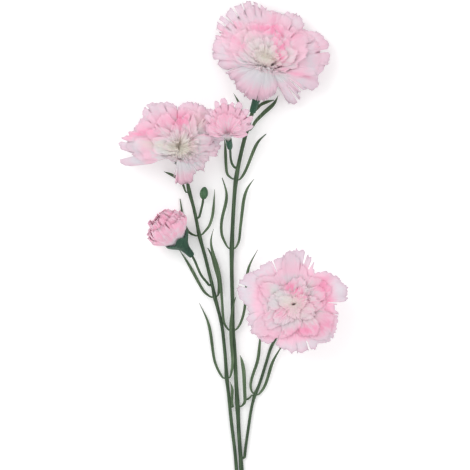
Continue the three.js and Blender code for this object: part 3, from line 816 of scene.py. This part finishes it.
topBloom["layers"] = [
    {"seed": 1, "rise": 12, "crest": 45, "nearCrest": (-100, 75, -0.3, 62), "wave": 2.6, "ruffle": 1.8,
     "crinkle": 0.6, "pinkness": 0.02, "tint": 0.35, "gap": 0.45,
     "rim": [(167, 41, 12), (153, 41, 12), (144, 45, 10), (126, 46, 9), (105, 45, 10), (92, 39, 12), (80, 37, 13),
        (71, 36, 13), (62, 41, 12), (53, 41, 11), (46, 39, 11), (38, 36, 13), (29, 43, 13), (16, 47, 14), (3, 46, 16),
        (-7, 44, 18), (-16, 40, 20), (-22, 41, 17), (-30, 42, 14), (-37, 36, 14), (-44, 34, 12), (-51, 38, 10),
        (-58, 38, 8), (-66, 33, 11), (-69, 21, 24), (-74, 26, 23), (-83, 27, 22), (-96, 30, 21), (-112, 31, 20),
        (-128, 30, 17), (-149, 29, 14), (-160, 31, 13), (-167, 29, 13), (-175, 36, 13)],
     "slits": [(153, 0.86), (147, 0.84), (140, 0.81), (131, 0.84), (122, 0.82), (113, 0.82), (104, 0.84), (97, 0.88),
        (71, 0.86), (7, 0.84), (-41, 0.86), (-54, 0.9), (-167, 0.84)],
     "smooth": [(-110, 0.6, 50, 0.45, 1), (-50, 0.6, 20, 0.4, 0.6)]},
    {"seed": 2, "rise": 14, "crest": 42, "wave": 2.2, "ruffle": 1.6, "pinkness": 0.05, "tint": 0.45,
     "lobes": (5, 0.06, 0.7), "coarse": 1.4, "fold": 1.6, "curl": 1.2,
     "rim": [(175, 28, 26), (160, 34, 16), (140, 38, 14), (122, 39, 14), (104, 39, 14), (90, 35, 16), (75, 34, 16),
        (60, 36, 14), (45, 34, 16), (30, 37, 16), (15, 41, 18), (0, 41, 20), (-12, 41, 23), (-19, 39, 26),
        (-25, 30, 30), (-50, 15, 36), (-90, 10, 38), (-120, 10, 38), (-151, 13, 37), (-170, 22, 30)],
     "slits": [(20, 0.88), (50, 0.88), (96, 0.88), (132, 0.88)]},
    {"seed": 3, "rise": 15, "crest": 43, "wave": 2, "ruffle": 1.5, "sway": 1.8, "lobes": (5, 0.08, 0.2),
     "coarse": 1.5, "pinch": 0.3, "fold": 1.5,
     "rim": [(180, 24, 30), (155, 30, 28), (130, 30, 26), (108, 28, 26), (90, 27, 27), (70, 29, 26), (50, 27, 26),
        (30, 31, 26), (12, 31, 27), (-8, 27, 30), (-30, 16, 36), (-60, 11, 38), (-90, 9, 39), (-140, 10, 39),
        (-165, 16, 35)],
     "slits": [(40, 0.88), (120, 0.88)],
     "also": [
        {"seed": 3.6, "throat": 1.4, "crest": 44, "lobes": (4, 0.08, 1.3), "slits": [],
         "rim": [(180, 18, 33), (150, 23, 32), (120, 22, 31), (90, 21, 32), (66, 23, 32), (40, 22, 31), (10, 23, 31),
            (-20, 15, 36), (-60, 9, 39), (-110, 8, 40), (-150, 9, 39)]}]},
    {"seed": 4, "rise": 16, "crest": 45, "wave": 1.4, "ruffle": 1.2, "sway": 1.4, "lobes": (4, 0.1, 0.4),
     "coarse": 1.6, "crease": (-36, 5.5, 0.35), "fold": 1.3, "curl": 0.7,
     "rim": [(180, 14, 35), (150, 18, 34), (120, 17, 34), (90, 16, 34), (64, 18, 34), (40, 16, 34), (10, 16, 34),
        (-20, 12, 38), (-60, 7.5, 40), (-120, 7, 40), (-160, 9, 39)],
     "also": [
        {"seed": 4.5, "crest": 40, "rise": 25, "sunk": -22, "curl": 0, "ragged": 0.35, "lobes": (3, 0.1, 0.9),
         "crease": (-36, 8, 0.25),
         "rim": [(170, 10, 37), (110, 12, 37), (50, 11, 37), (0, 9, 37), (-60, 6, 37), (-130, 6, 37)]}]},
]

leftBloom = {
    "hub": (0.6, 6.5), "seed": 7, "dyeRadius": 43,
    "hot": [(0, 20, 6, 6, 30, 0.9), (-14, 20, 14, 5, 5, 0.3), (-33, 10, 11, 2.6, 14, 0.8),
        (-18, 11, 12, 3.5, -4, 0.35), (8, 6, 2.5, 9, 0, 0.3), (17, 4, 3, 6, -30, 0.2)],
    "rosy": [(-12, 19, 20, 10, 0, 0.85), (-31, 12, 15, 4, 12, 0.7), (14, 29, 12, 4, -10, 0.5), (17, 3, 5, 10, 0, 0.3),
        (0, -21, 8, 5, 0, 0.6), (20, -9, 8, 6, 40, 0.4), (-28, -5, 10, 2, 0, 0.4)],
    "pale": [(24, 5, 7, 10, 0, 1), (7, -11, 12, 5, 5, 1), (-37, -5, 6, 3.5, 15, 0.9), (-41, 4, 6, 2, -10, 0.8),
        (-27, 27, 8, 4, 30, 0.4)],
    "cream": [(-17, 2.5, 13, 3.4, -6, 1), (12, 21, 6, 8, -20, 1), (4, 4, 7, 9, 10, 0.7), (-5, -2, 8, 4, 0, 0.8),
        (-10, 12, 9, 3, -20, 0.4)],
}
leftBloom["layers"] = [
    {"seed": 21, "rise": 10, "crest": 43, "nearCrest": (-90, 60, 0.3, 50), "wave": 2.6, "ruffle": 1.9,
     "crinkle": 0.7, "sway": 1.6, "pinkness": 0.03, "tint": 0.35,
     "rim": [(175, 47, 17), (169, 44, 18), (163, 40, 21), (151, 37, 25), (136, 39, 26), (126, 41, 26), (116, 38, 28),
        (104, 34, 30), (98, 31, 31), (84, 34, 29), (71, 35, 27), (55, 35, 24), (36, 34, 20), (15, 32, 18),
        (0, 27, 19), (-11, 26, 18), (-16, 22, 20), (-34, 20, 19), (-46, 23, 15), (-54, 20, 16), (-64, 20, 17),
        (-73, 25, 14), (-84, 26, 12), (-99, 26, 8), (-104, 22, 10), (-111, 12, 24), (-142, 12, 31), (-151, 17, 29),
        (-158, 27, 23), (-162, 39, 14), (-165, 44, 11), (-171, 46, 12), (-174, 38, 15), (-177, 36, 17),
        (-180, 44, 16)],
     "slits": [(-104, 0.8), (-58, 0.86), (-176, 0.7), (172, 0.86), (158, 0.88), (128, 0.88), (96, 0.88), (-30, 0.88)],
     "smooth": [(-85, 0.6, 22, 0.4, 0.8)]},
    {"seed": 22, "rise": 12, "crest": 44, "wave": 2.4, "ruffle": 1.9, "crinkle": 0.8, "sway": 2,
     "pinkness": 0.05, "tint": 0.45, "lobes": (5, 0.06, 0.1), "coarse": 1.3, "fold": 1.8, "curl": 1.3,
     "rim": [(178, 41, 22), (168, 39, 24), (150, 35, 26), (125, 38, 26), (100, 31, 30), (80, 31, 30), (60, 31, 26),
        (30, 29, 22), (0, 24, 22), (-30, 16, 26), (-60, 13, 28), (-90, 10, 30), (-120, 9, 32), (-145, 12, 32),
        (-160, 27, 26), (-172, 35, 24)],
     "slits": [(140, 0.88), (110, 0.88), (50, 0.88)]},
    {"seed": 23, "rise": 14, "crest": 45, "gather": 1.1, "wave": 2.2, "ruffle": 1.8, "crinkle": 0.7,
     "lobes": (5, 0.08, 0.8), "coarse": 1.4, "pinch": 0.3, "fold": 1.6, "curl": 1.1,
     "rim": [(175, 36, 28), (150, 23, 32), (125, 31, 32), (100, 19, 35), (78, 27, 35), (48, 17, 34), (18, 23, 32),
        (-20, 12, 32), (-60, 12, 34), (-100, 7, 36), (-140, 9, 36), (-165, 27, 32)],
     "slits": [(135, 0.88), (70, 0.88)],
     "also": [
        {"seed": 23.6, "throat": 1.4, "lobes": (4, 0.08, 1.7), "slits": [],
         "rim": [(176, 18, 35), (150, 29, 35), (118, 16, 36), (88, 23, 37), (58, 12, 37), (20, 11, 36), (-30, 13, 35),
            (-90, 5, 38), (-150, 13, 37)]}]},
    {"seed": 24, "rise": 15, "crest": 46, "wave": 1.6, "ruffle": 1.4, "crinkle": 0.6, "pinkness": 0.02,
     "tint": 0.25, "lobes": (4, 0.1, 0.2), "crease": (100, 4, 0.35), "fold": 1.4, "curl": 0.8,
     "rim": [(172, 25, 36), (138, 13, 38), (104, 20, 38), (64, 9, 40), (22, 14, 38), (-30, 6, 40), (-80, 8, 40),
        (-140, 7, 40)],
     "also": [
        {"seed": 24.5, "crest": 43, "rise": 13, "sunk": -10, "ragged": 0.3, "curl": 0, "lobes": (3, 0.1, 0.4),
         "crease": (100, 4, 0.25),
         "rim": [(168, 15, 38), (120, 7, 39), (80, 14, 39), (30, 6, 39), (-10, 8, 38), (-60, 5, 38), (-110, 7, 38),
            (-150, 5, 38)]}]},
]

rightBloom = {
    "hub": (0.3, 0.9), "seed": 13, "dyeRadius": 42,
    "hot": [(-2, 13, 9, 4, -10, 0.9), (5, 7, 8, 4, -35, 0.7), (22, 11, 13, 6, 100, 1), (11, -17, 16, 4, 12, 1),
        (-10, -6, 7, 5, 30, 0.6), (-25, 11, 10, 4, 70, 0.25), (-20, -22, 8, 5, -30, 0.3), (27, -8, 5, 9, 0, 0.4),
        (20, -20, 5, 3, 30, 0.5), (12, 0, 7, 5, 0, 0.35)],
    "rosy": [(13, -4, 12, 9, 0, 0.55), (1, -4, 9, 8, 0, 0.35), (-25, 10, 12, 6, 75, 0.82), (-1, 27, 18, 6, 0, 0.82),
        (22, 12, 14, 8, 100, 0.79), (-20, -20, 12, 8, -35, 0.79), (8, -19, 18, 6, 8, 0.79), (28, -8, 5, 12, 0, 0.66),
        (-9, -6, 8, 6, 0, 0.66), (8, -33, 20, 4, 0, 0.52), (3, 14, 10, 6, 0, 0.39)],
    "pale": [(-37, 12, 7, 14, 0, 1), (34, 10, 7, 12, 0, 0.9), (10, -29, 18, 4, 8, 0.8), (-5, 20, 9, 3.5, 0, 0.8),
        (-16, -14, 8, 4, -10, 0.8), (-15, 14, 10, 3, -42, 0.5), (-36, -8, 4, 9, 0, 0.6), (0, 38, 16, 4, 0, 0.5)],
    "cream": [(-12, 8, 13, 2.6, -44, 0.56), (10, -2, 11, 6, -20, 0.49), (6, -9, 14, 4, -15, 0.35),
        (12, 14, 8, 3, 40, 0.35), (-4, 0, 5, 4, 0, 0.35)],
}
rightBloom["layers"] = [
    {"seed": 31, "rise": 6, "crest": 45, "crestShare": 0.5, "wave": 2.8, "ruffle": 1.8, "crinkle": 0.6,
     "pinkness": 0.02, "tint": 0.12,
     "rim": [(88, 41, 40), (77, 40, 39), (66, 35, 40), (59, 29, 42), (55, 28, 43), (47, 33, 41), (36, 37, 38),
        (26, 39, 36), (15, 41, 36), (6, 39, 37), (1, 33, 40), (-3, 30, 41), (-12, 33, 38), (-23, 35, 37),
        (-36, 37, 35), (-48, 37, 35), (-57, 33, 37), (-64, 35, 36), (-80, 35, 35), (-92, 34, 35), (-112, 32, 36),
        (-118, 28, 38), (-124, 33, 36), (-137, 35, 34), (-154, 36, 34), (-165, 35, 35), (-172, 33, 37), (180, 35, 38),
        (171, 40, 38), (161, 43, 37), (147, 41, 37), (132, 37, 39), (122, 37, 39), (113, 36, 41), (100, 38, 40)],
     "slits": [(160, 0.88), (116, 0.84), (76, 0.85), (66, 0.87), (1, 0.82), (-15, 0.9), (-70, 0.86), (-118, 0.86),
        (-122, 0.88)]},
    {"seed": 32, "rise": 8, "crest": 44, "crestShare": 0.5, "wave": 1.8, "ruffle": 1.5, "pinkness": 0.03,
     "ragged": 0.14, "lobes": (5, 0.05, 0.9), "coarse": 1.4, "fold": 0.7, "curl": 0.5,
     "rim": [(92, 36, 38), (68, 25, 39), (48, 26, 39), (24, 30, 38), (2, 24, 38), (-18, 30, 38), (-42, 34, 37),
        (-68, 25, 37), (-92, 21, 37), (-120, 27, 38), (-142, 35, 36), (-168, 24, 37), (165, 25, 37), (142, 34, 38),
        (116, 27, 38)],
     "slits": [(80, 0.88), (-10, 0.88), (150, 0.88)]},
    {"seed": 33, "rise": 9, "crest": 44, "crestShare": 0.5, "gather": 1.1, "wave": 1.6, "ruffle": 1.4,
     "pinkness": 0.03, "tint": 0.3, "ragged": 0.14, "lobes": (5, 0.08, 0.3), "coarse": 1.5, "pinch": 0.25,
     "fold": 0.6, "curl": 0.3,
     "rim": [(84, 18, 40), (56, 16, 40), (28, 27, 40), (4, 19, 40), (-26, 17, 40), (-58, 29, 40), (-88, 17, 40),
        (-116, 15, 40), (-144, 27, 39), (178, 17, 40), (150, 28, 40), (118, 16, 40)],
     "slits": [(60, 0.88), (-80, 0.88)],
     "also": [
        {"seed": 33.6, "throat": 1.4, "crest": 45, "lobes": (4, 0.08, 1.1), "slits": [],
         "rim": [(76, 22, 42), (40, 13, 42), (4, 21, 42), (-34, 12, 42), (-70, 15, 42), (-104, 22, 42),
            (-150, 12, 41), (172, 20, 42), (124, 14, 42)]}]},
    {"seed": 34, "rise": 12, "crest": 46, "wave": 1.2, "ruffle": 1.2, "ragged": 0.14, "lobes": (4, 0.08, 0.6),
     "crease": (15, 1.2, 0.5), "fold": 0.5, "curl": 0.2,
     "rim": [(96, 10, 43), (58, 18, 43), (20, 11, 43), (-20, 18, 43), (-60, 11, 43), (-96, 12, 43), (-136, 18, 43),
        (180, 10, 43), (140, 17, 43)],
     "also": [
        {"seed": 34.5, "rise": 16, "sunk": -9, "lobes": (3, 0.1, 0.2), "crease": (15, 1.7, 0.7),
         "rim": [(90, 6, 44), (36, 12, 44), (-30, 6, 44), (-80, 10, 44), (-150, 7, 44), (150, 12, 44)]}]},
]

smallFlower = {
    "hub": (-0.3, 6), "seed": 17, "dyeRadius": 24,
    "hot": [(0, 10, 9, 8, 0, 0.25), (-10, 6, 6, 6, 0, 0.25), (4, 2, 9, 3, 0, 0.2)],
    "rosy": [(0, 8, 20, 14, 0, 0.75)],
    "pale": [(15, 2, 8, 4, 0, 0.5), (-17, 13, 4, 6, 0, 0.4), (19, 15, 5, 8, 0, 0.5), (0, 26, 14, 4, 0, 0.4)],
}
smallFlower["layers"] = [
    # shade and shadeReach paint shade on the inside base of the petals, as far out as shadeReach
    {"seed": 41, "hem": 0.6, "throat": 1.5, "rise": 5, "crest": 45, "gather": 0.5, "wave": 2, "ruffle": 1.8,
     "crinkle": 0.5, "sway": 0.8, "segments": 264, "rings": 24, "pinkness": 0.05, "dyeStart": 0.4, "dyeEnd": 0.85,
     "teeth": 0.4, "shade": 0.9, "shadeReach": 0.46, "corner": 2.2, "cornerWide": 3, "pinch": 0.15, "ragged": 0.12,
     "coarse": 1.4,
     "rim": [(180, 17, 38), (165, 18, 40), (150, 19, 41), (135, 20, 42), (123, 22, 43), (114, 25, 43), (106, 25, 44),
        (95, 25, 45), (85, 22, 46), (78, 22, 46), (65, 23, 45), (50, 22, 44), (41, 22, 43), (30, 21, 41),
        (20, 20, 40), (6, 18, 39), (-10, 16, 38), (-25, 12, 40), (-40, 8, 41), (-60, 4, 41), (-110, 3, 41),
        (-135, 6, 40), (-160, 13, 38)],
     "slits": [(158, 0.84), (138, 0.82), (122, 0.82), (106, 0.8), (88, 0.78), (73, 0.82), (54, 0.74), (36, 0.76),
        (17, 0.82), (-6, 0.84)]},
    {"seed": 42, "throat": 1.1, "rise": 7, "crest": 46, "crestShare": 0.55, "gather": 0.7, "wave": 1.6,
     "ruffle": 1.4, "crinkle": 0.5, "sway": 1.4, "pinkness": 0.08, "dyeStart": 0.45, "dyeEnd": 0.62, "teeth": 0.8,
     "shade": 0.8, "shadeReach": 0.4, "pinch": 0.2, "fold": 1, "curl": 0.5, "ragged": 0.25, "lobes": (5, 0.08, 0.5),
     "gap": 0.25, "coarse": 1.7,
     "rim": [(180, 14, 38), (150, 16, 39), (133, 17, 40), (120, 19, 41), (106, 20, 42), (90, 19, 42), (76, 18, 42),
        (58, 17, 41), (44, 17, 40), (20, 16, 39), (0, 14, 39), (-30, 7, 41), (-60, 4, 42), (-130, 4, 42),
        (-160, 9, 40)],
     "slits": [(132, 0.88), (70, 0.88), (20, 0.88)],
     "also": [
        {"seed": 42.7, "throat": 0.8, "crest": 47, "slits": [], "lobes": (4, 0.12, 1.2), "shade": 0.6,
         "rim": [(180, 9, 41), (140, 12, 42), (100, 14, 43), (60, 12, 43), (20, 11, 41), (-30, 5, 42), (-90, 3, 43),
            (-150, 5, 42)]}]},
]

openingBud = {
    "seed": 19,
}
openingBud["layers"] = [
    {"seed": 51, "throat": 8.4, "rise": 3, "crest": 7, "crestShare": 1.2, "overall": 0.9, "gather": 0.5,
     "wave": 0.8, "ruffle": 2.2, "crinkle": 0.9, "sway": 1.2, "segments": 200, "pinkness": 0.45, "sunk": 5,
     "dyeStart": 0.26, "dyeEnd": 0.58, "teeth": 3.4, "tint": 0.9, "lobes": (9, 0.2, 0.3), "gap": 0.8, "ragged": 0.12,
     "rim": [(0, 16, 11), (50, 13, 15), (95, 16, 12), (150, 14, 15), (200, 16, 11), (250, 13, 14), (300, 17, 12)],
     "slits": [(30, 0.8), (95, 0.84), (150, 0.8), (215, 0.82), (275, 0.8), (330, 0.84)],
     "also": [
        {"seed": 51.5, "throat": 6.6, "crest": 9, "crestShare": 1.45, "lobes": (7, 0.16, 1), "pinkness": 0.5,
         "rim": [(0, 12, 16), (70, 13, 17), (140, 12, 16), (210, 13, 17), (280, 12, 16)]}]},
    {"seed": 52, "throat": 5.2, "rise": 5, "crest": 13, "crestShare": 1.6, "wave": 1.4, "ruffle": 3.4,
     "crinkle": 1.6, "sway": 2.4, "segments": 200, "pinkness": 0.6, "overall": 0.9, "sunk": 4, "dyeStart": 0.4,
     "dyeEnd": 0.6, "teeth": 2, "tint": 0.9, "lobes": (6, 0.2, 0.1),
     "rim": [(0, 9.5, 19), (60, 9, 20), (120, 9.5, 19), (180, 8, 22), (240, 10.5, 20), (300, 8, 22)],
     "slits": [(20, 0.7), (75, 0.7), (140, 0.7), (200, 0.7), (260, 0.7), (310, 0.7)],
     "also": [
        {"seed": 52.5, "throat": 3.4, "crest": 15, "lobes": (5, 0.25, 0.8),
         "rim": [(0, 5, 20), (90, 4.5, 20), (180, 5, 20), (270, 4.5, 20)]},
        {"seed": 52.8, "throat": 2, "crest": 15, "crestShare": 1.4, "lobes": (3, 0.25, 0.8),
         "rim": [(0, 3, 19), (120, 2.5, 19), (240, 3, 19)]}]},
]


def makeBloom(flower, b):
    # an open bloom is laid out flat round its hub; the half-open bud stands round its calyx's axis
    mouth, axis = mouths[flower]
    b = {**plainBloom, **b}
    if "hub" in b:
        b["frame"] = (Vector((1, 0, 0)), Vector((0, 1, 0)), Vector((0, 0, 1)))
        b["hubPoint"] = Vector((mouth.x + b["hub"][0] * mm, mouth.y + b["hub"][1] * mm, 0.0))
    else:
        side = axis.cross(Vector((0, 0, 1))).normalized()
        b["frame"] = (side, axis.cross(side).normalized(), axis)
        b["hubPoint"] = mouth.copy()
    below = []
    for number, layer in enumerate(b["layers"], 1):
        shared = bigLayers[number - 1] if len(b["layers"]) == len(bigLayers) else {}
        petalLayer(flower, number, b, {**plainLayer, **shared, **layer}, below)
    print(flower, "petals ready")


for flower, b in (("top_bloom", topBloom), ("left_bloom", leftBloom), ("right_bloom", rightBloom),
                  ("small_flower", smallFlower), ("half_open_bud", openingBud)):
    makeBloom(flower, b)
